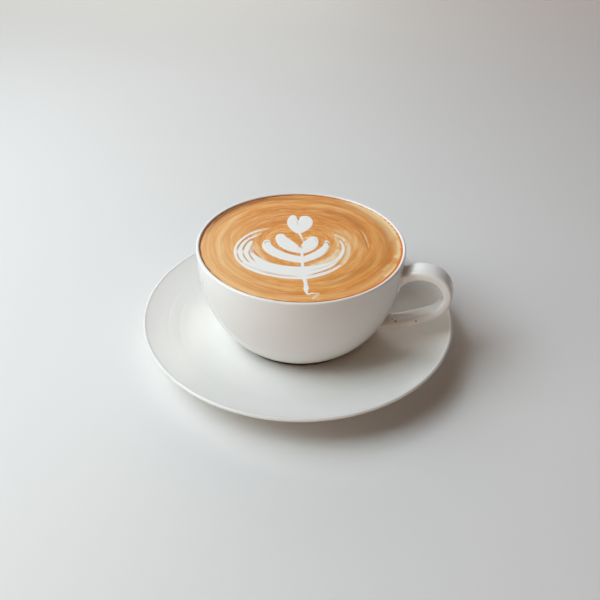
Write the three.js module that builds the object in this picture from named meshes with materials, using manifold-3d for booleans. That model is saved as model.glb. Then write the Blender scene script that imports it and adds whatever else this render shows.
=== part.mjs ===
// A cup of cappuccino on its saucer: glazed white cup with an ear handle, round saucer, brimful drink,
// and the milk-foam figure that is poured into its top.
// Millimetres, +Z up. The origin is the centre of the saucer's foot ring on the table, and the handle
// points along +X.

import * as THREE from 'three';
import { mergeVertices } from 'three/addons/utils/BufferGeometryUtils.js';
import Module from 'manifold-3d';

// Driving dimensions

const CLEARANCE = 0.3; // gap between neighbouring pieces
const ROUND_STEPS = 60; // steps round every turned piece

const SAUCER_RADIUS = 76.35; // outermost point of the lip
const SAUCER_LIP_HEIGHT = 17.0; // centre of the rounded lip above the table
const SAUCER_LIP_RADIUS = 1.1; // half the lip's thickness
const SAUCER_WELL_HEIGHT = 8.0; // flat floor that the cup stands on
const SAUCER_WELL_RADIUS = 40; // where the floor starts to rise
const SAUCER_DISH = [ // radius, height of the rising top from the floor to the lip
	[45, 8.35], [50, 9.2], [55, 10.45], [59.3, 11.85], [64.6, 13.7], [70, 15.65],
];
const SAUCER_BACK = [ // radius, height of the underside from the foot ring to the lip
	[51, 5.6], [59.3, 8.4], [66, 10.95], [71, 13.1],
];
const SAUCER_FOOT = { inner: 40, outer: 44, recess: 3.6 }; // ring that rests on the table

const CUP_OFFSET = 0.9; // the cup stands this far from the saucer's centre, towards the handle
const CUP_RADIUS = 48.75; // outside of the bowl just under the lip
const CUP_SHOULDER_HEIGHT = 55.2; // height at which the bowl is widest
const BOWL_DEPTH = 58; // depth of the whole curve that the bowl's outside follows
const BOWL_POWER = 2.5; // fullness of that curve
const BOWL_BASE_HEIGHT = 12.8; // lower edge of the bowl's outside, overhanging the foot ring
const LIP_RADIUS = 0.8; // half the lip's thickness
const LIP_HEIGHT = 56.1; // centre of the rounded lip
const WALL = 2.8; // wall of the lower bowl
const CUP_FOOT = { radius: 32.4, inner: 28.4, height: 3.4 }; // ring under the cup
const CUP_UNDERSIDE_HEIGHT = 10.8; // underside inside that ring
const CUP_FLOOR_HEIGHT = 13.6; // inside floor
const CUP_FLOOR_RADIUS = 27; // flat part of that floor

const DRINK_LEVEL = 56.0; // top of the crema
const FOAM_THICKNESS = 0.4; // relief of the foam figure
const FOAM_TURN = 14; // degrees between the figure's upright and +Y
const STROKE_STEPS = 10; // steps along a stroke of that figure
const CAP_STEPS = 6; // steps round a stroke's end

const HANDLE_PATH = [ // distance from the cup's axis, height
	[46.9, 46.8], [51.2, 48.3], [56.2, 50.2], [62.8, 49.8], [68.1, 45.8],
	[70.2, 38.8], [66.2, 30.2], [57.1, 24.4], [47.5, 19.8], [38.4, 17.4],
];
const HANDLE_WIDTHS = [9.8, 9.6, 10.4]; // across the strap, from the upper root to the lower one
const HANDLE_DEPTHS = [4.6, 5.7, 3.8, 4.3]; // thickness of the strap, in the same order
const HANDLE_SQUARENESS = 2.8; // 2 is an ellipse, more is squarer
const HANDLE_FILLET = { under: 5.5, over: 1.8 }; // fillets of the upper root, below and above the strap
const LOWER_FILLET = 2.4; // fillet of the lower root
const ROOT_REACH = 6; // the strap's section turns parallel to the wall within this distance of it
const HANDLE_RINGS = 28; // sections along the strap
const HANDLE_SIDES = 14; // corners of each section

// Foam figure: each stroke is a cubic Bezier spine and the stroke's radius at five even steps along it

const HEART_STROKES = [
	{ spine: [[-4.5, 23.8], [-5.6, 20.0], [-3.4, 13.5], [-1.9, 9.2]], radii: [1.4, 2.3, 2.7, 2.1, 1.0] },
	{ spine: [[1.6, 22.4], [2.4, 19.5], [1.6, 13.5], [-0.6, 9.2]], radii: [2.6, 3.4, 3.3, 2.3, 0.9] },
	{ spine: [[-1.4, 9.6], [-0.9, 8.2], [-0.4, 6.7], [0, 5.4]], radii: [1.0, 0.65, 0.5, 0.45, 0.4] },
];
const ROSETTA_STROKES = [
	{ spine: [[-9.9, 5.9], [-9.6, 0.6], [-4.6, -4.6], [-0.4, -9.2]], radii: [1.9, 3.1, 3.9, 3.1, 0.8] },
	{ spine: [[5.9, 4.0], [4.6, 0.0], [3.0, -3.6], [0.9, -9.6]], radii: [1.8, 3.0, 3.6, 3.0, 0.8] },
	{ spine: [[-15.8, 0.6], [-17.4, -6.8], [-9.2, -12.8], [0.2, -15.3]], radii: [1.4, 2.6, 2.9, 2.8, 2.1] },
	{ spine: [[12.1, 1.6], [13.0, -5.6], [7.6, -11.2], [0.8, -14.6]], radii: [0.9, 1.2, 2.1, 2.3, 1.6] },
	{ spine: [[-27.0, -4.5], [-27.6, -16.0], [-15.0, -25.6], [0.4, -25.2]], radii: [3.9, 4.3, 4.9, 5.0, 4.9] },
	{ spine: [[-17.4, 11.3], [-25.0, 9.0], [-29.3, 1.2], [-28.6, -6.6]], radii: [0.5, 0.8, 1.2, 1.7, 2.4] },
	{ spine: [[-22.9, 0.6], [-24.8, -4.8], [-23.6, -10.0], [-20.0, -16.6]], radii: [0.7, 1.2, 2.6, 3.0, 2.2] },
	{ spine: [[18.0, 1.9], [22.0, -7.0], [15.8, -21.4], [0.4, -25.2]], radii: [0.6, 1.1, 2.6, 4.2, 4.9] },
	{ spine: [[17.2, 7.4], [24.6, 0.2], [23.6, -16.6], [4.0, -28.0]], radii: [1.0, 1.1, 1.2, 1.0, 1.1] },
	{ spine: [[0.2, -8.6], [0.6, -16.0], [0.4, -24.0], [1.5, -30.2]], radii: [0.75, 0.85, 1.0, 1.1, 1.0] },
	{ spine: [[1.5, -30.2], [2.0, -33.0], [2.6, -36.0], [2.4, -38.6]], radii: [0.95, 0.95, 1.1, 1.2, 0.7] },
	{ spine: [[2.4, -38.4], [2.6, -41.2], [5.6, -39.2], [7.1, -41.2]], radii: [0.8, 0.55, 0.55, 0.5, 0.4] },
];

// Materials

const glaze = new THREE.MeshStandardMaterial({ color: 0xe9e8e5, roughness: 0.16, metalness: 0 });
const saucerGlaze = new THREE.MeshStandardMaterial({ color: 0xe6e6e3, roughness: 0.18, metalness: 0 });
const crema = new THREE.MeshStandardMaterial({ color: 0xd8985a, roughness: 0.42, metalness: 0 });
const milkFoam = new THREE.MeshStandardMaterial({ color: 0xece9e4, roughness: 0.5, metalness: 0 });

// Solids and joins

const wasm = await Module();
wasm.setup();

// Leaves only positions, shares the corners and drops triangles that have shrunk to a line.
function weld(geometry) {
	const bare = geometry.index ? geometry.clone() : geometry;
	bare.deleteAttribute('normal');
	bare.deleteAttribute('uv');
	const merged = mergeVertices(bare, 1e-4);
	const corners = merged.index.array;
	const kept = [];
	for (let i = 0; i < corners.length; i += 3) {
		const [a, b, c] = [corners[i], corners[i + 1], corners[i + 2]];
		if (a !== b && b !== c && c !== a) kept.push(a, b, c);
	}
	merged.setIndex(kept);
	return merged;
}

function toSolid(geometry) {
	const merged = weld(geometry);
	return new wasm.Manifold(new wasm.Mesh({
		numProp: 3,
		vertProperties: new Float32Array(merged.attributes.position.array),
		triVerts: new Uint32Array(merged.index.array),
	}));
}

function toGeometry(solid) {
	const mesh = solid.getMesh();
	const geometry = new THREE.BufferGeometry();
	geometry.setAttribute('position', new THREE.BufferAttribute(mesh.vertProperties, 3));
	geometry.setIndex(new THREE.BufferAttribute(mesh.triVerts, 1));
	geometry.computeVertexNormals();
	return geometry;
}

function join(geometries) {
	return toGeometry(geometries.map(toSolid).reduce((whole, piece) => whole.add(piece)));
}

function named(name, geometry, material) {
	const mesh = new THREE.Mesh(geometry, material);
	mesh.name = name;
	return mesh;
}

// Turns a profile of [radius, height] points about the Z axis.
function turned(profile) {
	const points = profile.map(([radius, height]) => new THREE.Vector2(radius, height));
	const geometry = weld(new THREE.LatheGeometry(points, ROUND_STEPS));
	geometry.rotateX(Math.PI / 2);
	geometry.computeVertexNormals();
	return geometry;
}

// Points on an arc about [radius, height], angles in degrees from the outward direction.
function arc([radius, height], size, from, to, steps) {
	return Array.from({ length: steps + 1 }, (_, i) => {
		const angle = THREE.MathUtils.degToRad(from + ((to - from) * i) / steps);
		return [radius + size * Math.cos(angle), height + size * Math.sin(angle)];
	});
}

// Values evenly spaced from first to last.
function even(first, last, steps) {
	return Array.from({ length: steps + 1 }, (_, i) => first + ((last - first) * i) / steps);
}

// Smooth value at t from 0 to 1 through evenly spaced numbers.
function through(values, t) {
	const place = Math.min(t, 1) * (values.length - 1);
	const i = Math.min(Math.floor(place), values.length - 2);
	const f = place - i;
	const p1 = values[i];
	const p2 = values[i + 1];
	const p0 = values[i - 1] ?? 2 * p1 - p2;
	const p3 = values[i + 2] ?? 2 * p2 - p1;
	const slope = p2 - p0;
	const bend = 2 * p0 - 5 * p1 + 4 * p2 - p3;
	const twist = 3 * p1 - p0 - 3 * p2 + p3;
	return 0.5 * (2 * p1 + slope * f + bend * f * f + twist * f * f * f);
}

function ease(t) {
	const f = THREE.MathUtils.clamp(t, 0, 1);
	return f * f * (3 - 2 * f);
}

// Saucer

function saucerGeometry() {
	const lip = [SAUCER_RADIUS - SAUCER_LIP_RADIUS, SAUCER_LIP_HEIGHT];
	const { inner, outer, recess } = SAUCER_FOOT;
	return turned([
		[0, recess],
		[inner - 1, recess],
		[inner - 0.4, recess - 0.6],
		[inner, 0],
		[outer, 0],
		[outer + 0.6, recess - 0.4],
		...SAUCER_BACK,
		...arc(lip, SAUCER_LIP_RADIUS, -60, 150, 8),
		...SAUCER_DISH.toReversed(),
		[SAUCER_WELL_RADIUS, SAUCER_WELL_HEIGHT],
		[0, SAUCER_WELL_HEIGHT],
	]);
}

// Cup

// Radius of the bowl's outside at a height, and how fast it widens there.
function bowlRadius(height) {
	const drop = Math.max(CUP_SHOULDER_HEIGHT - height, 0) / BOWL_DEPTH;
	return CUP_RADIUS * Math.sqrt(1 - drop ** BOWL_POWER);
}

function bowlSlope(height) {
	const step = 0.05;
	return (bowlRadius(height + step) - bowlRadius(height - step)) / (2 * step);
}

// Wall thickness, thinning towards the lip.
function wallAt(height) {
	const thinning = ease((height - 40) / (CUP_SHOULDER_HEIGHT - 40));
	return THREE.MathUtils.lerp(WALL, 2 * LIP_RADIUS + 0.05, thinning);
}

// Inside of the bowl from the top down, drawn in by a gap.
function insideProfile(gap) {
	const wall = even(CUP_SHOULDER_HEIGHT, 15.4, 11).map((height) => {
		const slope = bowlSlope(height);
		const length = Math.hypot(1, slope);
		const inset = wallAt(height) + gap;
		return [bowlRadius(height) - inset / length, height + (inset * slope) / length];
	});
	return [
		...wall,
		[CUP_FLOOR_RADIUS + 3, CUP_FLOOR_HEIGHT + 0.7 + gap],
		[CUP_FLOOR_RADIUS, CUP_FLOOR_HEIGHT + gap],
		[0, CUP_FLOOR_HEIGHT + gap],
	];
}

function bowlGeometry() {
	const stand = SAUCER_WELL_HEIGHT + CLEARANCE;
	const { radius, inner, height } = CUP_FOOT;
	const lip = [CUP_RADIUS - LIP_RADIUS, LIP_HEIGHT];
	return turned([
		[0, CUP_UNDERSIDE_HEIGHT],
		[inner - 0.6, CUP_UNDERSIDE_HEIGHT - 0.4],
		[inner, stand],
		[radius - 0.3, stand],
		[radius, stand + 0.3],
		[radius, stand + height],
		[bowlRadius(BOWL_BASE_HEIGHT) - 0.7, BOWL_BASE_HEIGHT - 0.35],
		...even(BOWL_BASE_HEIGHT, CUP_SHOULDER_HEIGHT, 14).map((h) => [bowlRadius(h), h]),
		...arc(lip, LIP_RADIUS, 0, 180, 8),
		...insideProfile(0),
	]);
}

// One point of the handle's skin. The section turns parallel to the wall near a root, and its skin
// flares out there into a fillet.
function handlePoint(middle, along, t, turn) {
	const isUpper = t < 0.5;
	const gap = (middle.x - bowlRadius(middle.y)) / Math.hypot(1, bowlSlope(middle.y));
	const across = new THREE.Vector2(-along.y, along.x);
	const wallLine = new THREE.Vector2(bowlSlope(middle.y), 1).normalize();
	if (wallLine.dot(across) < 0) wallLine.negate();
	const out = wallLine.lerp(across, ease(gap / ROOT_REACH)).normalize();

	const sine = Math.sin(turn);
	const cosine = Math.cos(turn);
	const power = 2 / HANDLE_SQUARENESS;
	const halfWidth = through(HANDLE_WIDTHS, t) / 2;
	const halfDepth = through(HANDLE_DEPTHS, t) / 2;
	const side = Math.sign(cosine) * Math.abs(cosine) ** power * halfWidth;
	const rise = Math.sign(sine) * Math.abs(sine) ** power * halfDepth;

	const bare = middle.clone().addScaledVector(out, rise);
	const distance = Math.hypot(bare.x, side) - bowlRadius(bare.y);
	const depth = Math.max(distance / Math.hypot(1, bowlSlope(bare.y)), 0);
	const { under, over } = HANDLE_FILLET;
	const fillet = isUpper ? THREE.MathUtils.lerp(over, under, Math.max(-sine, 0)) : LOWER_FILLET;
	const reach = Math.max(fillet - depth, 0);
	const flare = fillet - Math.sqrt(fillet ** 2 - reach ** 2);
	const skin = bare.addScaledVector(out, flare * sine);
	return [skin.x, side + flare * cosine, skin.y];
}

function handleGeometry() {
	const path = new THREE.CatmullRomCurve3(
		HANDLE_PATH.map(([distance, height]) => new THREE.Vector3(distance, height, 0)),
		false,
		'catmullrom',
		0.5,
	);
	const positions = [];
	for (const t of even(0, 1, HANDLE_RINGS)) {
		const middle = path.getPoint(t);
		const along = path.getTangent(t);
		for (let i = 0; i < HANDLE_SIDES; i += 1) {
			positions.push(...handlePoint(
				new THREE.Vector2(middle.x, middle.y),
				new THREE.Vector2(along.x, along.y),
				t,
				(i / HANDLE_SIDES) * 2 * Math.PI,
			));
		}
	}
	const corners = [];
	for (let ring = 0; ring < HANDLE_RINGS; ring += 1) {
		for (let i = 0; i < HANDLE_SIDES; i += 1) {
			const a = ring * HANDLE_SIDES + i;
			const b = ring * HANDLE_SIDES + ((i + 1) % HANDLE_SIDES);
			corners.push(a, b, b + HANDLE_SIDES, a, b + HANDLE_SIDES, a + HANDLE_SIDES);
		}
	}
	const last = HANDLE_RINGS * HANDLE_SIDES;
	for (let i = 1; i < HANDLE_SIDES - 1; i += 1) {
		corners.push(0, i + 1, i);
		corners.push(last, last + i, last + i + 1);
	}
	const geometry = new THREE.BufferGeometry();
	geometry.setAttribute('position', new THREE.Float32BufferAttribute(positions, 3));
	geometry.setIndex(corners);
	return geometry;
}

// Drink

function drinkGeometry() {
	const wall = insideProfile(CLEARANCE);
	const edge = CUP_RADIUS - 2 * LIP_RADIUS - CLEARANCE;
	return turned([
		...wall.reverse(),
		[edge, DRINK_LEVEL - 0.2],
		[edge - 0.2, DRINK_LEVEL],
		[0, DRINK_LEVEL],
	]);
}

// Foam figure

// Outline of a stroke: along one side of the spine, round its end, back along the other side.
function strokeOutline({ spine, radii }) {
	const [a, b, c, d] = spine.map(([x, y]) => new THREE.Vector2(x, y));
	const curve = new THREE.CubicBezierCurve(a, b, c, d);
	const left = [];
	const right = [];
	for (const t of even(0, 1, STROKE_STEPS)) {
		const along = curve.getTangent(t);
		const across = new THREE.Vector2(-along.y, along.x).multiplyScalar(through(radii, t));
		const middle = curve.getPoint(t);
		left.push(middle.clone().add(across));
		right.unshift(middle.clone().sub(across));
	}
	const cap = (t, radius, from) => even(from, from + Math.PI, CAP_STEPS).slice(1, -1).map((turn) => {
		const along = curve.getTangent(t);
		const outward = new THREE.Vector2(-along.y, along.x).rotateAround(new THREE.Vector2(), -turn);
		return curve.getPoint(t).addScaledVector(outward, radius);
	});
	return [...left, ...cap(1, radii[4], 0), ...right, ...cap(0, radii[0], Math.PI)];
}

function foamGeometry(strokes) {
	const settings = { depth: FOAM_THICKNESS, bevelEnabled: false };
	return join(strokes.map((stroke) => (
		new THREE.ExtrudeGeometry(new THREE.Shape(strokeOutline(stroke)), settings)
	)));
}

function foamFigure() {
	const figure = new THREE.Group();
	figure.add(named('foam_heart', foamGeometry(HEART_STROKES), milkFoam));
	figure.add(named('foam_rosetta', foamGeometry(ROSETTA_STROKES), milkFoam));
	figure.position.z = DRINK_LEVEL + CLEARANCE;
	figure.rotation.z = THREE.MathUtils.degToRad(FOAM_TURN);
	return figure;
}

// Whole object

const filledCup = new THREE.Group();
filledCup.position.x = CUP_OFFSET;
filledCup.add(named('cup', join([bowlGeometry(), handleGeometry()]), glaze));
filledCup.add(named('drink', drinkGeometry(), crema));
filledCup.add(foamFigure());

const cappuccino = new THREE.Group();
cappuccino.add(named('saucer', saucerGeometry(), saucerGlaze));
cappuccino.add(filledCup);

export default cappuccino;
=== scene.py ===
"""Dresses the cup of cappuccino: glazed cup and saucer, and the coffee with its poured foam figure."""

import math

import bpy
import numpy as np
from mathutils import Matrix, Vector


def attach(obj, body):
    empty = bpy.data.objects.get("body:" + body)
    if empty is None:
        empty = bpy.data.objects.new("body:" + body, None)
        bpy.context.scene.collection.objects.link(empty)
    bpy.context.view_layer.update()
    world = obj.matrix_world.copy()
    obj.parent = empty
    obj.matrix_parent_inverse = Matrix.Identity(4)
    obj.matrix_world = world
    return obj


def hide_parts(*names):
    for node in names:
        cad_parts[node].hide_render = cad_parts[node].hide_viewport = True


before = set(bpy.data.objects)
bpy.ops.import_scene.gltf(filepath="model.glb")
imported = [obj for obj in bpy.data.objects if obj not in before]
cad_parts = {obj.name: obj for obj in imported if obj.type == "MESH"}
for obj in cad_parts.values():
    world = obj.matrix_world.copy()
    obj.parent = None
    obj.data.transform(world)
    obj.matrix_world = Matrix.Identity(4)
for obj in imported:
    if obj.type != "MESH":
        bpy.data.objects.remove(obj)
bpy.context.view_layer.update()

MM = 0.001

# Dimensions in millimetres, those of the solids unless a comment says otherwise

CUP_X = 0.9  # the cup stands this far off the saucer's centre
VIEW_TURN = math.radians(14)  # how far the viewer's axes are turned from the part's

CUP_RADIUS = 48.75
SHOULDER = 55.2
BOWL_DEPTH = 58
BOWL_POWER = 2.5
BOWL_BASE = 12.8
LIP_RADIUS = 0.8
LIP_HEIGHT = 56.1
WALL = 2.8
STAND = 8.3  # height of the cup's foot, 0.3 above the saucer's floor as in the solids
CUP_FOOT_INNER, CUP_FOOT_OUTER = 28.4, 32.4
CUP_FOOT_HEIGHT = 3.4
CUP_UNDERSIDE = 10.8
CUP_FLOOR = 13.6

SAUCER_FOOT_INNER, SAUCER_FOOT_OUTER = 40, 44
SAUCER_RECESS = 3.6
SAUCER_BACK = [(51, 5.6), (59.3, 8.4), (66, 10.95), (71, 13.1)]
SAUCER_LIP = (75.5, 17.1)  # centre of the rounded lip, as far out as the solid's
SAUCER_LIP_RADIUS = 0.85  # 1.1 in the solid
SAUCER_DISH = [(55, 10.45), (50, 9.2), (45, 8.35), (40, 8.0)]
SAUCER_GROOVES = [(64.6, 13.7), (59.3, 11.85)]  # faint lines that the solid leaves out

COFFEE_LEVEL = 56.12  # 0.12 above the top of the solid drink
COFFEE_RADIUS = CUP_RADIUS - 2 * LIP_RADIUS

HANDLE_PATH = [
    (46.9, 46.8), (51.2, 48.3), (56.2, 50.2), (62.8, 49.8), (68.1, 45.8),
    (70.2, 38.8), (66.2, 30.2), (57.1, 24.4), (47.5, 19.8), (38.4, 17.4),
]
HANDLE_WIDTHS = [9.8, 9.6, 10.4]
HANDLE_DEPTHS = [4.6, 5.7, 3.8, 4.3]
SQUARENESS = 3.8  # 2.8 in the solid, whose section is rounder
FILLET_UNDER, FILLET_OVER, FILLET_LOWER = 5.5, 1.0, 2.0  # 5.5, 1.8 and 2.4 in the solid
ROOT_REACH = 6

# Dried drips on the handle's lower arm: place and radius
DRIED = [(47.22, -1.34, 21.53, 0.5), (48.99, -3.25, 22.07, 0.8), (58.57, -4.96, 25.44, 0.6)]

# The poured figure, seen from above with the viewer below: cubic spine, and radius at five even steps

MILK = [
    ([(-4.2, 23.9), (-4.9, 20.0), (-3.2, 13.5), (-1.9, 9.2)], [1.5, 2.5, 3.0, 2.3, 1.0]),
    ([(1.7, 22.3), (2.6, 19.5), (1.8, 13.5), (-0.5, 9.2)], [2.7, 3.4, 3.3, 2.3, 0.9]),
    ([(-1.3, 9.6), (-0.7, 7.6), (0.0, 5.4), (0.5, 3.0)], [1.0, 0.66, 0.5, 0.4, 0.24]),
    ([(-9.7, 5.4), (-9.6, 0.9), (-4.9, -4.2), (-0.2, -8.4)], [2.1, 3.1, 3.7, 3.0, 0.8]),
    ([(5.8, 3.6), (5.0, -0.2), (3.2, -3.6), (1.1, -8.6)], [1.9, 3.0, 3.6, 2.9, 0.7]),
    ([(-15.9, 0.4), (-17.2, -6.6), (-9.4, -12.6), (0.0, -14.6)], [1.5, 2.5, 2.8, 2.8, 2.6]),
    ([(12.0, 1.2), (12.6, -5.2), (7.8, -10.6), (1.2, -14.6)], [1.0, 1.6, 2.2, 2.4, 2.2]),
    ([(-26.3, -6.5), (-27.0, -17.0), (-15.0, -25.4), (0.4, -25.1)], [4.3, 4.6, 5.0, 4.9, 4.9]),
    ([(-19.6, 10.3), (-25.8, 7.2), (-29.8, -0.2), (-29.0, -8.0)], [0.35, 0.6, 0.9, 1.3, 1.7]),
    ([(-20.9, 5.6), (-25.2, 2.0), (-27.6, -2.4), (-27.4, -8.0)], [0.4, 0.8, 1.0, 1.2, 1.4]),
    ([(-23.1, 0.2), (-24.4, -3.4), (-25.0, -6.8), (-24.6, -10.0)], [0.6, 1.1, 1.4, 1.4, 1.2]),
    ([(-22.1, -9.9), (-20.6, -14.0), (-17.0, -18.6), (-12.0, -21.0)], [0.3, 1.2, 1.9, 2.2, 2.4]),
    ([(18.1, 2.0), (21.2, -3.6), (19.2, -12.0), (13.6, -17.6)], [0.4, 0.6, 0.7, 0.85, 1.1]),
    ([(16.0, -14.6), (13.2, -19.0), (8.0, -23.0), (0.4, -24.4)], [0.9, 1.7, 2.5, 3.5, 4.2]),
    ([(17.6, -18.6), (14.0, -23.4), (9.0, -27.0), (1.6, -28.8)], [0.5, 0.7, 0.85, 1.0, 1.2]),
    ([(0.4, -8.6), (0.6, -16.0), (0.8, -24.0), (1.9, -31.0)], [0.6, 0.7, 0.72, 0.9, 0.85]),
    ([(1.9, -31.0), (2.2, -33.0), (2.5, -35.0), (2.4, -36.9)], [0.85, 0.8, 0.85, 1.0, 1.15]),
    ([(2.4, -36.9), (2.3, -38.2), (2.4, -39.6), (3.0, -40.5)], [1.15, 0.9, 0.6, 0.5, 0.45]),
    ([(3.0, -40.5), (4.1, -41.1), (4.3, -39.4), (5.5, -40.1)], [0.45, 0.42, 0.42, 0.42, 0.38]),
]

# Milk that has blended with the crema: spine, half width, strength
CREAM = [
    ([(-15.4, 12.1), (-19.5, 11.4), (-23.0, 9.0), (-25.6, 6.0)], 0.9, 0.62),
    ([(-18.6, 7.4), (-20.2, 7.2), (-21.6, 6.0), (-22.6, 4.6)], 0.9, 0.45),
    ([(-22.3, -1.2), (-21.6, -7.0), (-19.0, -12.0), (-15.0, -16.2)], 0.32, 0.62),
    ([(-21.3, 1.8), (-20.9, -5.0), (-18.6, -10.0), (-15.6, -13.8)], 0.3, 0.35),
    ([(15.2, 7.4), (17.0, 7.8), (19.6, 4.6), (21.0, 1.0)], 0.95, 0.85),
    ([(20.6, 2.6), (23.2, -4.0), (21.6, -12.4), (17.6, -18.8)], 1.05, 0.72),
    ([(21.9, 0.0), (23.4, -6.0), (21.4, -13.6), (17.4, -19.6)], 0.4, 0.85),
    ([(15.4, 6.4), (16.6, 3.4), (17.3, 0.0), (17.2, -4.0)], 0.5, 0.6),
    ([(17.8, -4.0), (17.0, -11.0), (12.0, -15.8), (5.4, -18.4)], 1.6, 0.8),
    ([(16.4, -10.0), (12.6, -16.0), (8.4, -18.8), (3.2, -20.2)], 1.6, 0.9),
    ([(2.2, 3.6), (3.0, 4.8), (4.4, 5.6), (5.4, 5.4)], 0.7, 0.6),
    ([(0.3, 4.0), (0.8, 2.2), (1.2, 0.6), (1.6, -0.8)], 0.4, 0.6),
    ([(5.5, -40.1), (6.6, -40.5), (7.3, -39.7), (7.9, -41.1)], 0.5, 0.85),
    ([(7.4, -41.2), (6.5, -41.9), (5.5, -42.4), (5.1, -44.2)], 0.5, 0.75),
    ([(6.9, -43.9), (7.1, -44.1), (7.3, -44.3), (7.5, -44.6)], 0.3, 0.6),
    ([(28.4, 12.4), (30.4, 7.0), (31.3, 1.0), (31.2, -4.0)], 0.22, 0.6),
]

# Thin crema lines in the milk: spine, half width, strength
VEINS = [
    ([(-1.5, 1.0), (-0.9, -1.0), (0.0, -2.8), (0.5, -5.6)], 0.36, 0.7),
    ([(-2.4, 20.6), (-2.1, 18.6), (-1.8, 17.2), (-1.6, 15.6)], 0.2, 0.45),
    ([(-17.0, -2.2), (-16.9, 0.2), (-15.6, 1.4), (-14.7, -0.8)], 0.3, 0.8),
    ([(11.0, -0.8), (11.7, 2.2), (13.2, -0.4), (12.9, -3.6)], 0.32, 1.0),
    ([(12.9, -3.0), (12.7, -5.4), (11.8, -7.6), (10.6, -9.0)], 0.24, 0.6),
    ([(6.0, 5.0), (7.0, 3.6), (7.1, 1.4), (6.7, -0.6)], 0.2, 0.3),
    ([(-21.6, 8.2), (-26.2, 4.2), (-29.8, -3.0), (-29.2, -9.4)], 0.46, 1.0),
    ([(-29.2, -8.6), (-28.9, -12.6), (-27.6, -16.0), (-25.0, -19.0)], 0.36, 0.7),
    ([(-21.4, 4.2), (-25.2, 1.0), (-27.0, -4.6), (-26.4, -9.6)], 0.46, 1.0),
    ([(-26.5, -8.8), (-26.2, -12.2), (-24.8, -15.4), (-22.4, -18.2)], 0.36, 0.8),
    ([(-23.9, -6.4), (-23.9, -10.4), (-22.6, -14.0), (-20.2, -17.0)], 0.34, 0.85),
    ([(-22.6, -2.6), (-23.0, -5.8), (-22.9, -7.6), (-22.0, -10.4)], 0.7, 0.6),
    ([(-20.6, -10.6), (-17.6, -16.0), (-11.0, -19.4), (-3.6, -20.6)], 0.3, 0.3),
    ([(-26.8, -17.0), (-22.4, -22.4), (-14.6, -25.6), (-8.0, -26.4)], 0.3, 0.35),
    ([(-18.6, -23.9), (-13.0, -26.9), (-6.6, -28.1), (0.0, -27.6)], 0.45, 0.5),
    ([(2.4, -27.3), (8.0, -25.2), (14.2, -21.2), (18.6, -15.6)], 0.42, 0.85),
    ([(3.6, -23.4), (9.0, -21.6), (14.0, -17.8), (17.2, -12.6)], 0.26, 0.4),
    ([(19.4, -14.6), (21.2, -10.0), (21.8, -4.6), (20.6, 0.6)], 0.3, 0.3),
]

# Soft pale veils of milk in the crema: spine, half width, strength
VEILS = [
    ([(20.0, 42.5), (34.0, 36.0), (45.0, 20.0), (46.2, 2.0)], 2.0, 1.0),
    ([(26.0, 37.0), (38.0, 27.0), (44.5, 14.0), (44.5, 0.0)], 2.6, 0.6),
    ([(46.0, 6.0), (46.5, -2.0), (45.8, -8.0), (44.0, -14.0)], 1.9, 1.0),
    ([(42.6, -11.6), (43.4, -10.6), (44.2, -9.4), (44.8, -8.2)], 1.1, 1.0),
    ([(43.4, -16.0), (41.6, -20.6), (38.8, -24.4), (35.6, -27.6)], 1.5, 0.9),
    ([(39.6, -16.6), (38.6, -18.8), (37.4, -20.6), (35.8, -22.4)], 0.8, 0.5),
    ([(-28.0, 27.0), (-40.0, 16.0), (-42.0, -8.0), (-31.0, -26.0)], 1.0, 0.42),
    ([(-36.0, 2.0), (-38.5, -8.0), (-33.0, -22.0), (-22.0, -31.0)], 0.8, 0.3),
    ([(14.0, 12.0), (22.0, 11.0), (27.0, 3.0), (26.4, -7.0)], 1.9, 0.42),
    ([(24.0, 6.0), (29.0, 0.0), (29.0, -10.0), (22.0, -20.0)], 1.3, 0.3),
    ([(-30.0, 30.0), (-22.0, 36.5), (-12.0, 38.0), (-4.0, 34.0)], 1.2, 0.22),
    ([(-26.0, 18.0), (-20.0, 25.0), (-12.0, 27.0), (-6.0, 28.0)], 1.0, 0.25),
    ([(-22.0, 14.0), (-17.0, 19.0), (-12.0, 21.0), (-8.0, 21.0)], 1.0, 0.22),
    ([(-44.0, -12.0), (-38.0, -28.0), (-26.0, -38.0), (-12.0, -43.0)], 0.9, 0.3),
    ([(-40.0, -8.0), (-34.0, -26.0), (-18.0, -38.0), (2.0, -37.0)], 0.7, 0.24),
    ([(-12.0, -42.0), (2.0, -44.5), (16.0, -42.5), (30.0, -33.0)], 1.0, 0.34),
    ([(22.0, -37.0), (30.0, -33.0), (38.0, -24.0), (43.0, -14.0)], 1.4, 0.3),
    ([(32.0, 20.0), (37.0, 8.0), (37.0, -6.0), (32.0, -18.0)], 0.7, 0.2),
    ([(5.0, 34.0), (14.0, 36.0), (26.0, 30.0), (33.0, 18.0)], 0.8, 0.2),
    ([(3.0, -32.0), (8.0, -33.0), (16.0, -31.0), (22.0, -25.0)], 0.7, 0.24),
]

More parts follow.
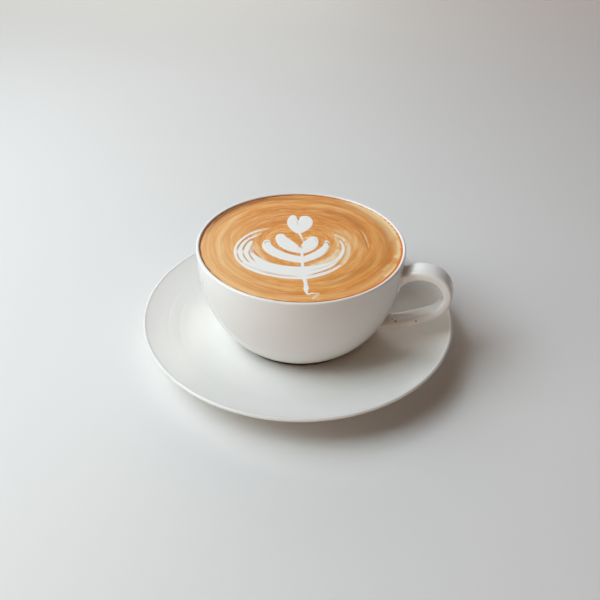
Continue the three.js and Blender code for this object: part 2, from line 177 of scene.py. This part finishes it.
# Darker strokes in the crema; those along the back-left rim are a painted shadow of the lip: spine, half
# width, strength
DARKER_CREMA_AND_LIP_SHADOW = [
    ([(-44.4, 11.0), (-40.0, 26.5), (-29.4, 38.4), (-12.0, 44.0)], 0.85, 1.0),
    ([(-46.2, 2.0), (-42.8, 24.0), (-28.6, 40.8), (-2.0, 45.4)], 1.6, 0.5),
    ([(24.0, 36.0), (34.0, 28.0), (41.0, 16.0), (41.6, 2.0)], 1.0, 0.4),
    ([(-30.0, 36.0), (-20.0, 42.0), (-8.0, 42.5), (4.0, 41.5)], 0.9, 0.4),
    ([(27.6, 13.0), (29.6, 7.0), (30.6, 1.0), (30.6, -4.6)], 0.28, 0.6),
    ([(10.0, 30.0), (20.0, 29.0), (28.0, 20.0), (30.0, 10.0)], 1.6, 0.3),
    ([(36.0, 24.0), (42.0, 10.0), (42.0, -8.0), (34.0, -24.0)], 2.0, 0.3),
    ([(8.0, -33.0), (20.0, -30.0), (29.0, -22.0), (34.0, -10.0)], 2.4, 0.25),
    ([(-4.0, 41.0), (8.0, 42.0), (20.0, 37.0), (29.0, 30.0)], 1.0, 0.3),
]


# Curves and fields


def bezier(spine, t):
    a, b, c, d = np.array(spine, float)
    t = np.asarray(t)[:, None]
    return (1 - t) ** 3 * a + 3 * (1 - t) ** 2 * t * b + 3 * (1 - t) * t * t * c + t**3 * d


def through(values, t):
    """Smooth values at t, from 0 to 1, through evenly spaced numbers."""
    v = np.asarray(values, float)
    n = len(v) - 1
    v = np.concatenate([[2 * v[0] - v[1]], v, [2 * v[-1] - v[-2]]])
    x = np.clip(np.asarray(t, float), 0, 1) * n
    i = np.clip(x.astype(int), 0, n - 1)
    f = x - i
    p0, p1, p2, p3 = v[i], v[i + 1], v[i + 2], v[i + 3]
    return 0.5 * (
        2 * p1
        + (p2 - p0) * f
        + (2 * p0 - 5 * p1 + 4 * p2 - p3) * f * f
        + (3 * p1 - p0 - 3 * p2 + p3) * f**3
    )


def step(low, high, x):
    """0 below low, 1 above high, eased between them."""
    f = np.clip((x - low) / (high - low), 0, 1)
    return f * f * (3 - 2 * f)


def along_spine(points, spine, count=64):
    """Distance of each point from a spine, and the place t of the nearest point on it."""
    t = np.linspace(0, 1, count)
    best = np.full(len(points), 1e9)
    place = np.zeros(len(points))
    for (x, y), s in zip(bezier(spine, t), t):
        d = np.hypot(points[:, 0] - x, points[:, 1] - y)
        nearer = d < best
        best[nearer] = d[nearer]
        place[nearer] = s
    return best, place


def stroke_distance(points, strokes):
    """Distance outside the union of strokes, negative inside."""
    result = np.full(len(points), 1e9)
    t = np.linspace(0, 1, 56)
    for spine, radii in strokes:
        for (x, y), r in zip(bezier(spine, t), through(radii, t)):
            result = np.minimum(result, np.hypot(points[:, 0] - x, points[:, 1] - y) - r)
    return result


def soft_lines(points, lines, spread):
    """Strongest of some lines at each point; each fades at its ends and across its width."""
    result = np.zeros(len(points))
    for spine, width, strength in lines:
        d, t = along_spine(points, spine)
        ends = step(0, 0.16, t) * step(0, 0.16, 1 - t)
        across = 1 - step(width * (1 - spread), width * (1 + spread) + 0.15, d)
        result = np.maximum(result, strength * across * (0.25 + 0.75 * ends))
    return result


def line_field(points, lines):
    """Distance outside the nearest of some thin lines, and that line's strength, less near its ends."""
    nearest = np.full(len(points), 1e9)
    power = np.zeros(len(points))
    for spine, width, strength in lines:
        d, t = along_spine(points, spine)
        taper = step(0, 0.25, t) * step(0, 0.25, 1 - t)
        outside = d - width * (0.5 + 0.5 * taper)
        nearer = outside < nearest
        nearest[nearer] = outside[nearer]
        power[nearer] = (strength * (0.35 + 0.65 * taper))[nearer]
    return nearest, power


# Meshes

LATHE_STEPS = 288


def mesh_object(name, points, faces, material):
    """A smooth mesh from points in millimetres, riding on the only body."""
    mesh = bpy.data.meshes.new(name)
    mesh.from_pydata((np.asarray(points) * MM).tolist(), [], [tuple(f) for f in faces])
    mesh.polygons.foreach_set("use_smooth", [True] * len(mesh.polygons))
    mesh.materials.append(material)
    mesh.update()
    piece = bpy.data.objects.new(name, mesh)
    bpy.context.scene.collection.objects.link(piece)
    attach(piece, "root")
    return piece


def rounded(corners, steps=6):
    """A profile of (radius, height, reach): each corner is rounded off over its reach."""
    points = [corners[0][:2]]
    for before, corner, after in zip(corners, corners[1:], corners[2:]):
        p = np.array(corner[:2], float)
        a = np.array(before[:2], float) - p
        b = np.array(after[:2], float) - p
        reach = min(corner[2], 0.48 * np.linalg.norm(a), 0.48 * np.linalg.norm(b))
        if reach < 1e-6:
            points.append(tuple(p))
            continue
        start = p + a / np.linalg.norm(a) * reach
        end = p + b / np.linalg.norm(b) * reach
        for f in np.linspace(0, 1, steps):
            points.append(tuple((1 - f) ** 2 * start + 2 * f * (1 - f) * p + f * f * end))
    points.append(corners[-1][:2])
    return points


def arc(radius, height, size, start, end, steps):
    angles = np.radians(np.linspace(start, end, steps + 1))
    return [(radius + size * math.cos(a), height + size * math.sin(a), 0) for a in angles]


def lathe(profile, steps, x):
    """Points and faces of a profile turned about a vertical axis at x; it starts and ends on the axis."""
    turn = np.arange(steps) / steps * 2 * math.pi
    points = [(x, 0, profile[0][1])]
    for radius, height in profile[1:-1]:
        points += list(zip(x + radius * np.cos(turn), radius * np.sin(turn), [height] * steps))
    points.append((x, 0, profile[-1][1]))
    rings = len(profile) - 2
    faces = []
    for i in range(steps):
        j = (i + 1) % steps
        faces.append((0, 1 + j, 1 + i))
        for k in range(rings - 1):
            a = 1 + k * steps
            faces.append((a + i, a + j, a + steps + j, a + steps + i))
        last = 1 + (rings - 1) * steps
        faces.append((last + i, last + j, len(points) - 1))
    return points, faces


def bowl_radius(height):
    drop = np.maximum(SHOULDER - np.asarray(height, float), 0) / BOWL_DEPTH
    return CUP_RADIUS * np.sqrt(1 - drop**BOWL_POWER)


def bowl_slope(height):
    return (bowl_radius(height + 0.05) - bowl_radius(height - 0.05)) / 0.1


def inside_wall(gap, top, steps):
    """Inside of the bowl from the height top down to the floor, drawn in by a gap."""
    rows = []
    for height in np.linspace(top, CUP_FLOOR + 1.8, steps):
        slope = float(bowl_slope(height))
        inset = WALL + (2 * LIP_RADIUS + 0.05 - WALL) * float(step(40, SHOULDER, height)) + gap
        length = math.hypot(1, slope)
        rows.append((float(bowl_radius(height)) - inset / length, height + inset * slope / length, 0))
    floor = CUP_FLOOR + gap
    return rows + [(30, floor + 0.7, 1.5), (27, floor, 1.5), (0, floor, 0)]


def groove(radius, height):
    """A turning line pressed faintly into the rising dish."""
    offsets = [(0.5, 0.18), (0, -0.03), (-0.5, -0.17)]
    return [(radius + out, height + up, 0.2) for out, up in offsets]


def saucer_mesh(material):
    inner, outer = SAUCER_FOOT_INNER, SAUCER_FOOT_OUTER
    corners = [
        (0, SAUCER_RECESS, 0), (inner - 1, SAUCER_RECESS, 0.5), (inner - 0.4, 3.0, 0.5),
        (inner, 0, 0.5), (outer, 0, 0.5), (outer + 0.6, 3.2, 0.8),
    ]
    corners += [(radius, height, 3) for radius, height in SAUCER_BACK[:-1]]
    corners += [(*SAUCER_BACK[-1], 2)]
    corners += arc(*SAUCER_LIP, SAUCER_LIP_RADIUS, -60, 140, 20)
    corners += [(73.8, 17.2, 0.5), (70, 15.65, 2)]
    for radius, height in SAUCER_GROOVES:
        corners += groove(radius, height)
    corners += [(radius, height, 2.4) for radius, height in SAUCER_DISH]
    corners += [(0, SAUCER_DISH[-1][1], 0)]
    return mesh_object("saucer_glazed", *lathe(rounded(corners), LATHE_STEPS, 0), material)


def cup_profile():
    inner, outer = CUP_FOOT_INNER, CUP_FOOT_OUTER
    foot = [
        (0, CUP_UNDERSIDE, 0), (inner - 0.6, CUP_UNDERSIDE - 0.4, 1), (inner, STAND, 0.4),
        (outer - 0.3, STAND, 0.25), (outer, STAND + 0.3, 0.2),
        (outer, STAND + CUP_FOOT_HEIGHT, 0.2), (outer + 2.8, BOWL_BASE - 0.35, 0.4),
    ]
    outside = [(float(bowl_radius(h)), h, 0) for h in np.linspace(BOWL_BASE, SHOULDER, 40)]
    lip = arc(CUP_RADIUS - LIP_RADIUS, LIP_HEIGHT, LIP_RADIUS, 0, 180, 16)
    return rounded(foot + outside + lip + inside_wall(0, SHOULDER, 24))


def catmull(points, t):
    """Point and direction at t on a uniform Catmull-Rom curve through points."""
    p = np.asarray(points, float)
    p = np.vstack([2 * p[0] - p[1], p, 2 * p[-1] - p[-2]])
    n = len(points) - 1
    x = min(max(t, 0), 1) * n
    i = min(int(x), n - 1)
    f = x - i
    a, b, c, d = p[i : i + 4]
    k1, k2, k3 = c - a, 2 * a - 5 * b + 4 * c - d, 3 * b - a - 3 * c + d
    return 0.5 * (2 * b + k1 * f + k2 * f * f + k3 * f**3), 0.5 * (k1 + 2 * k2 * f + 3 * k3 * f * f)


def handle_mesh(rings=150, sides=56):
    """Points and faces of the strap; its section turns parallel to the wall near a root and flares."""
    points = []
    for t in np.linspace(0, 1, rings + 1):
        middle, along = catmull(HANDLE_PATH, t)
        along = along / np.linalg.norm(along)
        slope = float(bowl_slope(middle[1]))
        gap = (middle[0] - float(bowl_radius(middle[1]))) / math.hypot(1, slope)
        across = np.array([-along[1], along[0]])
        wall = np.array([slope, 1]) / math.hypot(slope, 1)
        if wall @ across < 0:
            wall = -wall
        out = wall + (across - wall) * float(step(0, ROOT_REACH, gap))
        out = out / np.linalg.norm(out)
        half_width = float(through(HANDLE_WIDTHS, [t])[0]) / 2
        half_depth = float(through(HANDLE_DEPTHS, [t])[0]) / 2
        for turn in np.arange(sides) / sides * 2 * math.pi:
            s, c = math.sin(turn), math.cos(turn)
            side = math.copysign(abs(c) ** (2 / SQUARENESS) * half_width, c)
            rise = math.copysign(abs(s) ** (2 / SQUARENESS) * half_depth, s)
            bare = middle + out * rise
            away = math.hypot(bare[0], side) - float(bowl_radius(bare[1]))
            depth = max(away / math.hypot(1, float(bowl_slope(bare[1]))), 0)
            fillet = FILLET_LOWER
            if t < 0.5:
                fillet = FILLET_OVER + (FILLET_UNDER - FILLET_OVER) * max(-s, 0)
            reach = max(fillet - depth, 0)
            flare = fillet - math.sqrt(fillet**2 - reach**2)
            skin = bare + out * flare * s
            points.append((CUP_X + skin[0], side + flare * c, skin[1]))
    faces = []
    for ring in range(rings):
        for i in range(sides):
            a, b = ring * sides + i, ring * sides + (i + 1) % sides
            faces.append((a, b, b + sides, a + sides))
    faces.append(tuple(reversed(range(sides))))
    faces.append(tuple(range(rings * sides, (rings + 1) * sides)))
    return points, faces


def cup_mesh(material):
    points, faces = lathe(cup_profile(), LATHE_STEPS, CUP_X)
    more, skin = handle_mesh()
    shift = len(points)
    faces = list(faces) + [tuple(shift + i for i in f) for f in skin]
    return mesh_object("cup_glazed", list(points) + list(more), faces, material)


# Coffee


def disc(count, radius):
    """A grid of squares pressed into a disc: points, faces and the outline's indices in order."""
    line = np.linspace(-1, 1, count + 1)
    a, b = np.meshgrid(line, line, indexing="xy")
    wide = np.abs(a) > np.abs(b)
    r = np.where(wide, a, b)
    with np.errstate(divide="ignore", invalid="ignore"):
        turn = np.where(wide, math.pi / 4 * b / a, math.pi / 2 - math.pi / 4 * a / b)
    turn = np.where(r == 0, 0, turn)
    points = np.stack([radius * r * np.cos(turn), radius * r * np.sin(turn)], -1).reshape(-1, 2)
    row = count + 1
    faces = [
        (j * row + i, j * row + i + 1, (j + 1) * row + i + 1, (j + 1) * row + i)
        for j in range(count)
        for i in range(count)
    ]
    rim = list(range(row)) + [j * row + count for j in range(1, row)]
    rim += [count * row + i for i in range(count - 1, -1, -1)]
    rim += [j * row for j in range(count - 1, 0, -1)]
    return points, faces, rim


def coffee_mesh(material, count=284):
    """The drink, from its top down the wall to the floor; it reaches just into the wall."""
    reach = 0.25
    flat, faces, rim = disc(count, COFFEE_RADIUS + reach)
    radius = np.hypot(flat[:, 0], flat[:, 1])
    milk = stroke_distance(flat, MILK)
    wall = COFFEE_RADIUS - radius
    foam = 0.1 * (1 - step(-0.5, 0.35, milk))
    meniscus = 0.12 * np.exp(-np.maximum(wall, 0) / 0.5)
    cosine, sine = math.cos(VIEW_TURN), math.sin(VIEW_TURN)
    x = CUP_X + cosine * flat[:, 0] - sine * flat[:, 1]
    y = sine * flat[:, 0] + cosine * flat[:, 1]
    top = np.stack([x, y, COFFEE_LEVEL + foam + meniscus], -1)

    points = top.tolist()
    outline = np.array([top[i] for i in rim])
    turn = np.arctan2(outline[:, 1], outline[:, 0] - CUP_X)
    above = list(rim)
    for r, height, _ in inside_wall(-reach, SHOULDER - 0.6, 6)[:-1]:
        below = list(range(len(points), len(points) + len(rim)))
        points += np.stack(
            [CUP_X + r * np.cos(turn), r * np.sin(turn), np.full(len(rim), height)], -1
        ).tolist()
        for i in range(len(rim)):
            j = (i + 1) % len(rim)
            faces.append((above[j], above[i], below[i], below[j]))
        above = below
    faces.append(tuple(reversed(above)))
    piece = mesh_object("coffee_surface", points, faces, material)
    paint_coffee(piece.data, flat, milk, wall)

    layer = piece.data.uv_layers.new(name="OFBake")
    place = np.array([(p[0] - CUP_X, p[1]) for p in points]) / (2.04 * COFFEE_RADIUS) + 0.5
    corners = np.zeros(len(piece.data.loops), int)
    piece.data.loops.foreach_get("vertex_index", corners)
    layer.data.foreach_set("uv", place[corners].astype(np.float32).ravel())
    return piece


def paint_coffee(mesh, flat, milk, wall):
    """Stores what the coffee's material reads: the figure, veins, veils, painted shade at the rim and the
    way the crema flows.
    """
    x, y = flat[:, 0], flat[:, 1]
    radius = np.hypot(x, y)
    lobes = 6 * step(-10, 20, y)
    round_figure = np.hypot(np.abs(x) - lobes, y + 3)
    blend = step(26, 46, radius)
    across = round_figure * (1 - blend) + radius * blend
    across += 0.9 * np.sin(x * 0.11 + 1.3) * np.cos(y * 0.13 + 0.4)
    turn = np.arctan2(y + 3 * (1 - blend), x)
    flow = np.stack([across, 2.4 * np.cos(turn), 2.4 * np.sin(turn)], -1)

    # A dark edge where the coffee meets the wall: partly its own darker meniscus, partly painted shade in
    # the gap under the lip
    angle = np.arctan2(y, x)
    back_left = step(0.1, 0.9, np.cos(angle - math.radians(140)))
    right_front = step(0.1, 0.9, np.cos(angle + math.radians(48)))
    waver = 0.12 * np.sin(angle * 31 + 2 * np.sin(angle * 7))
    width = 0.5 + 0.5 * back_left + 0.85 * right_front + waver
    ring = 1 - step(width * 0.55, width, wall)
    beads = step(0.35, 0.95, np.cos(angle)) * step(-0.3, 0.5, np.sin(angle * 170 / 2))
    ring = ring * (1 - 0.75 * beads * (1 - right_front))

    vein, vein_power = line_field(flat, VEINS)
    fields = {
        "milk": np.clip(milk, -3, 3),
        "vein": np.clip(vein, -1, 2),
        "vein_power": vein_power,
        "cream": soft_lines(flat, CREAM, 0.5),
        "veils": soft_lines(flat, VEILS, 0.85),
        "darker_crema_and_lip_shadow": soft_lines(flat, DARKER_CREMA_AND_LIP_SHADOW, 0.85),
        "ring": ring,
        "far_right": step(-0.2, 1, x / COFFEE_RADIUS),
        "far_left": step(0.1, 0.95, -(x * 0.94 + y * 0.34) / COFFEE_RADIUS),
    }
    total = len(mesh.vertices)
    for name, values in fields.items():
        full = np.zeros(total, np.float32)
        full[: len(values)] = values
        mesh.attributes.new(name, "FLOAT", "POINT").data.foreach_set("value", full)
    full = np.zeros((total, 3), np.float32)
    full[: len(flow)] = flow
    mesh.attributes.new("flow", "FLOAT_VECTOR", "POINT").data.foreach_set("vector", full.ravel())


# Materials


class Tree:
    """A short way to build a material's nodes."""

    def __init__(self, name):
        self.material = bpy.data.materials.new(name)
        self.material.use_nodes = True
        self.nodes = self.material.node_tree.nodes
        self.links = self.material.node_tree.links
        self.shader = self.nodes["Principled BSDF"]

    def put(self, socket, value):
        if isinstance(value, bpy.types.NodeSocket):
            self.links.new(value, socket)
        else:
            socket.default_value = value

    def add(self, kind, out=0, inputs=None, **settings):
        node = self.nodes.new(kind)
        for key, value in settings.items():
            setattr(node, key, value)
        for key, value in (inputs or {}).items():
            self.put(node.inputs[key], value)
        return node.outputs[out]

    def attribute(self, name, out="Fac"):
        return self.add("ShaderNodeAttribute", out, attribute_name=name)

    def math(self, operation, a, b):
        return self.add("ShaderNodeMath", inputs={0: a, 1: b}, operation=operation)

    def times(self, a, b):
        return self.math("MULTIPLY", a, b)

    def ramp(self, value, low, high, to_low=0.0, to_high=1.0):
        """value from low..high to to_low..to_high, eased and clamped."""
        return self.add(
            "ShaderNodeMapRange",
            inputs={0: value, 1: low, 2: high, 3: to_low, 4: to_high},
            interpolation_type="SMOOTHSTEP",
        )

    def mix(self, factor, a, b):
        return self.add("ShaderNodeMix", 2, inputs={0: factor, 6: a, 7: b}, data_type="RGBA")

    def noise(self, vector, scale, detail=2.0, roughness=0.5):
        return self.add(
            "ShaderNodeTexNoise",
            inputs={"Vector": vector, "Scale": scale, "Detail": detail, "Roughness": roughness},
        )

    def surface(self, **sockets):
        for name, value in sockets.items():
            self.put(self.shader.inputs[name.replace("_", " ")], value)
        return self.material


def srgb(r, g, b):
    """A colour as seen in a photo, from 0 to 255, as linear light."""
    shares = (r / 255, g / 255, b / 255)
    linear = [c / 12.92 if c <= 0.04045 else ((c + 0.055) / 1.055) ** 2.4 for c in shares]
    return (*linear, 1.0)


DRIED_COFFEE = srgb(112, 72, 44)
DARK_FOOT_BROWN = srgb(58, 38, 18)
CREMA_DARK, CREMA, CREMA_PALE = srgb(218, 135, 52), srgb(234, 155, 70), srgb(245, 181, 102)
THREAD_PALE, THREAD_DARK = srgb(250, 207, 146), srgb(200, 116, 38)
LEFT_TINT, RIGHT_TINT = srgb(250, 206, 150), srgb(228, 150, 68)
DARK_CREMA_AND_SHADOW_TINT, VEIL_TINT = srgb(140, 76, 18), srgb(255, 226, 170)
BUBBLE_TINT = srgb(238, 204, 152)
CREAM_TINT, MILK_WHITE, VEIN_TINT = srgb(250, 234, 203), srgb(248, 247, 243), srgb(214, 152, 84)
EDGE_AND_SHADE_LEFT, EDGE_AND_SHADE_RIGHT = srgb(146, 62, 6), srgb(226, 118, 30)


def glaze(name, colour, tint, dark_below=None, specks=()):
    """White porcelain glaze: faint cloudiness, a soft gloss and a barely uneven skin.

    Below the given height the cup is dark brown and rough. Specks are (x, y, z, radius).
    """
    tree = Tree(name)
    place = tree.add("ShaderNodeTexCoord", "Object")
    cloud = tree.noise(place, 28.0, 2.0)
    fine = tree.noise(place, 260.0, 2.0)
    blend = tree.ramp(cloud, 0.3, 0.7)
    skin = tree.add(
        "ShaderNodeBump", inputs={"Strength": 0.02, "Distance": 0.0004, "Height": fine}
    )
    tone = tree.mix(blend, colour, tint)
    rough = tree.ramp(cloud, 0.3, 0.7, 0.13, 0.19)
    for x, y, z, radius in specks:
        away = tree.add(
            "ShaderNodeVectorMath",
            "Value",
            inputs={0: place, 1: (x * MM, y * MM, z * MM)},
            operation="DISTANCE",
        )
        speck = tree.ramp(away, 0.5 * radius * MM, radius * MM, 0.75, 0.0)
        tone = tree.mix(speck, tone, DRIED_COFFEE)
    if dark_below:
        height = tree.add("ShaderNodeSeparateXYZ", "Z", inputs={0: place})
        bare = tree.ramp(height, dark_below * MM, (dark_below + 0.2) * MM, 1.0, 0.0)
        tone = tree.mix(bare, tone, DARK_FOOT_BROWN)
        rough = tree.math("MAXIMUM", rough, tree.times(bare, 0.8))
    return tree.surface(Base_Color=tone, Roughness=rough, IOR=1.5, Normal=skin)


def coffee_material():
    """Crema that flows round the figure, under milk with thin veins. It has a dark edge at the wall that
    is partly painted shade, and a painted shadow of the lip at the back-left.
    """
    tree = Tree("crema")
    flow = tree.attribute("flow", "Vector")
    place = tree.add("ShaderNodeTexCoord", "Object")
    broad = tree.noise(flow, 0.22, 2.0)
    fine = tree.noise(flow, 0.62, 3.0, 0.6)
    hair = tree.noise(flow, 2.0, 2.0)
    grain = tree.noise(place, 2400.0, 2.0)
    patch = tree.noise(place, 45.0, 2.0)

    tone = tree.math("ADD", tree.times(broad, 0.5), tree.times(fine, 0.35))
    tone = tree.math("ADD", tone, tree.times(patch, 0.15))
    colour = tree.mix(tree.ramp(tone, 0.36, 0.52), CREMA_DARK, CREMA)
    colour = tree.mix(tree.ramp(tone, 0.5, 0.66), colour, CREMA_PALE)

    threads = tree.times(tree.ramp(hair, 0.53, 0.59), tree.ramp(fine, 0.4, 0.56))
    colour = tree.mix(tree.times(threads, 0.5), colour, THREAD_PALE)
    lows = tree.times(tree.ramp(hair, 0.46, 0.4), tree.ramp(fine, 0.6, 0.44))
    colour = tree.mix(tree.times(lows, 0.5), colour, THREAD_DARK)

    colour = tree.mix(tree.times(tree.attribute("far_left"), 0.45), colour, LEFT_TINT)
    right = tree.attribute("far_right")
    colour = tree.mix(tree.times(right, 0.45), colour, RIGHT_TINT)
    # Darker crema, and along the back-left rim a painted shadow of the lip
    darker_crema_and_lip_shadow = tree.times(tree.attribute("darker_crema_and_lip_shadow"), tree.ramp(hair, 0.3, 0.7, 0.75, 1.0))
    colour = tree.mix(darker_crema_and_lip_shadow, colour, DARK_CREMA_AND_SHADOW_TINT)
    veils = tree.times(tree.attribute("veils"), tree.ramp(fine, 0.35, 0.6, 0.65, 1.0))
    colour = tree.mix(veils, colour, VEIL_TINT)
    bubbles = tree.times(tree.ramp(grain, 0.6, 0.72), tree.ramp(patch, 0.45, 0.62, 0.05, 0.25))
    colour = tree.mix(bubbles, colour, BUBBLE_TINT)

    cream = tree.times(tree.attribute("cream"), tree.ramp(hair, 0.3, 0.62, 0.7, 1.0))
    colour = tree.mix(cream, colour, CREAM_TINT)
    wobble = tree.times(tree.math("SUBTRACT", grain, 0.5), 0.2)
    milk = tree.ramp(tree.math("ADD", tree.attribute("milk"), wobble), -0.2, 0.26, 1.0, 0.0)
    colour = tree.mix(milk, colour, MILK_WHITE)
    vein = tree.ramp(tree.math("ADD", tree.attribute("vein"), wobble), -0.16, 0.22, 1.0, 0.0)
    vein = tree.times(vein, tree.attribute("vein_power"))
    colour = tree.mix(tree.times(vein, milk), colour, VEIN_TINT)

    # The edge's colour: the coffee's darker meniscus with painted shade, darkest on the left
    edge_and_shade = tree.mix(right, EDGE_AND_SHADE_LEFT, EDGE_AND_SHADE_RIGHT)
    colour = tree.mix(tree.attribute("ring"), colour, edge_and_shade)
    bumps = tree.add(
        "ShaderNodeBump", inputs={"Strength": 0.12, "Distance": 0.0003, "Height": grain}
    )
    return tree.surface(
        Base_Color=colour, Roughness=0.42, IOR=1.36, Specular_IOR_Level=0.35, Normal=bumps
    )


FAR_GLOW = 0.3  # brightness of the floor far away; the horizon has half of it
GLOW_COLOUR = (1.0, 0.995, 0.985, 1)


def floor_material():
    """Pale table top, which far from the cup passes into a glow."""
    tree = Tree("table_top")
    place = tree.add("ShaderNodeTexCoord", "Object")
    cloud = tree.noise(place, 3.0, 2.0)
    colour = tree.mix(tree.ramp(cloud, 0.3, 0.7), (0.8, 0.797, 0.79, 1), (0.815, 0.812, 0.805, 1))
    away = tree.add("ShaderNodeVectorMath", "Value", inputs={0: place}, operation="LENGTH")
    return tree.surface(
        Base_Color=colour,
        Roughness=0.6,
        IOR=1.4,
        Emission_Color=GLOW_COLOUR,
        Emission_Strength=tree.ramp(away, 0.95, 1.8, 0.0, FAR_GLOW),
    )


# The pieces

dark_below = STAND + CUP_FOOT_HEIGHT + 0.05
cup_glaze = glaze("cup_glaze", srgb(241, 241, 239), srgb(243, 243, 242), dark_below, DRIED)
saucer_glaze = glaze("saucer_glaze", srgb(236, 236, 233), srgb(239, 239, 237))

saucer = saucer_mesh(saucer_glaze)
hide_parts("saucer")

cup = cup_mesh(cup_glaze)
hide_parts("cup")

coffee = coffee_mesh(coffee_material())
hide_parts("drink", "foam_heart", "foam_rosetta")

# Stage, light and camera

FLOOR_RADIUS = 9  # metres
FLOOR_SIDES = 96
FLOOR_LEVEL = -0.0002  # just below the saucer's foot

floor_mesh = bpy.data.meshes.new("floor")
turns = np.arange(FLOOR_SIDES) / FLOOR_SIDES * 2 * math.pi
outline = [(FLOOR_RADIUS * math.cos(a), FLOOR_RADIUS * math.sin(a), FLOOR_LEVEL) for a in turns]
floor_mesh.from_pydata(outline, [], [tuple(range(FLOOR_SIDES))])
floor_mesh.materials.append(floor_material())
floor = bpy.data.objects.new("floor", floor_mesh)
bpy.context.scene.collection.objects.link(floor)

world = bpy.data.worlds.new("studio")
bpy.context.scene.world = world
world.use_nodes = True
sky = world.node_tree
direction = sky.nodes.new("ShaderNodeTexCoord")
parts = sky.nodes.new("ShaderNodeSeparateXYZ")
fade = sky.nodes.new("ShaderNodeMapRange")
fade.interpolation_type = "SMOOTHSTEP"
for socket, value in zip(fade.inputs[1:5], (0.16, 0.46, 0.5 * FAR_GLOW, 0.0)):
    socket.default_value = value
sky.links.new(direction.outputs["Generated"], parts.inputs[0])
sky.links.new(parts.outputs["Z"], fade.inputs[0])
sky.links.new(fade.outputs[0], sky.nodes["Background"].inputs["Strength"])
sky.nodes["Background"].inputs["Color"].default_value = GLOW_COLOUR


def area_light(name, azimuth, elevation, distance, size, power, colour):
    """A soft box that faces the cup; azimuth in degrees from the viewer's right."""
    turn = math.radians(azimuth) + VIEW_TURN
    lift = math.radians(elevation)
    aim = Vector((0, 0, 0.03))
    way = Vector((math.cos(turn) * math.cos(lift), math.sin(turn) * math.cos(lift), math.sin(lift)))
    data = bpy.data.lights.new(name, "AREA")
    data.shape = "SQUARE"
    data.size = size
    data.energy = power
    data.color = colour
    light = bpy.data.objects.new(name, data)
    light.location = aim + way * distance
    light.rotation_euler = way.to_track_quat("Z", "Y").to_euler()
    bpy.context.scene.collection.objects.link(light)


# A bank of soft boxes on the left makes the key light; the rest open and warm the shadows.
# Each has its name, azimuth, elevation, distance, size, power and colour.
LIGHTS = [
    ("key_back", 163, 49, 0.75, 0.35, 1.8, (0.88, 0.91, 1.0)),
    ("key_front", 196, 49, 1.25, 0.6, 6.3, (0.74, 0.87, 1.0)),
    ("key_low", 196, 36, 0.75, 0.35, 1.4, (0.96, 1.0, 0.88)),
    ("key_top", 212, 62, 0.75, 0.35, 0.6, (0.98, 1.0, 0.9)),
    ("fill_back", 105, 22, 1.0, 0.8, 2.45, (1.0, 0.98, 0.88)),
    ("fill_right", 62, 22, 1.0, 0.8, 0.9, (1.0, 0.76, 0.68)),
    ("fill_front", 264, 22, 1.0, 0.8, 1.4, (1.0, 0.5, 0.18)),
]
for soft_box in LIGHTS:
    area_light(*soft_box)


def place_camera():
    """The photo's camera, found by fitting the outlines of saucer, rim and drink."""
    pitch, yaw, roll = 0.64105, 0.00309, 0.01996
    place = (0.24682, -270.64747, 224.17622)
    picture = 600
    half_pixel = 0.5 / picture
    spin = Matrix.Rotation(VIEW_TURN, 3, "Z")
    forward = Vector(
        (math.sin(yaw) * math.cos(pitch), math.cos(yaw) * math.cos(pitch), -math.sin(pitch))
    )
    right = Vector((math.cos(yaw), -math.sin(yaw), 0))
    up = right.cross(forward)
    side = math.cos(roll) * right + math.sin(roll) * up
    rise = -math.sin(roll) * right + math.cos(roll) * up
    data = bpy.data.cameras.new("camera")
    data.lens = 40.8
    data.sensor_width = 36
    data.shift_x = -half_pixel
    data.shift_y = half_pixel
    data.clip_start = 0.01
    data.clip_end = 40
    camera = bpy.data.objects.new("camera", data)
    axes = Matrix((spin @ side, spin @ rise, spin @ -forward)).transposed()
    where = spin @ Vector(place) * MM
    camera.matrix_world = Matrix.Translation(where) @ axes.to_4x4()
    bpy.context.scene.collection.objects.link(camera)
    bpy.context.scene.camera = camera


place_camera()
bpy.context.scene.view_settings.view_transform = "Standard"

bpy.context.view_layer.update()
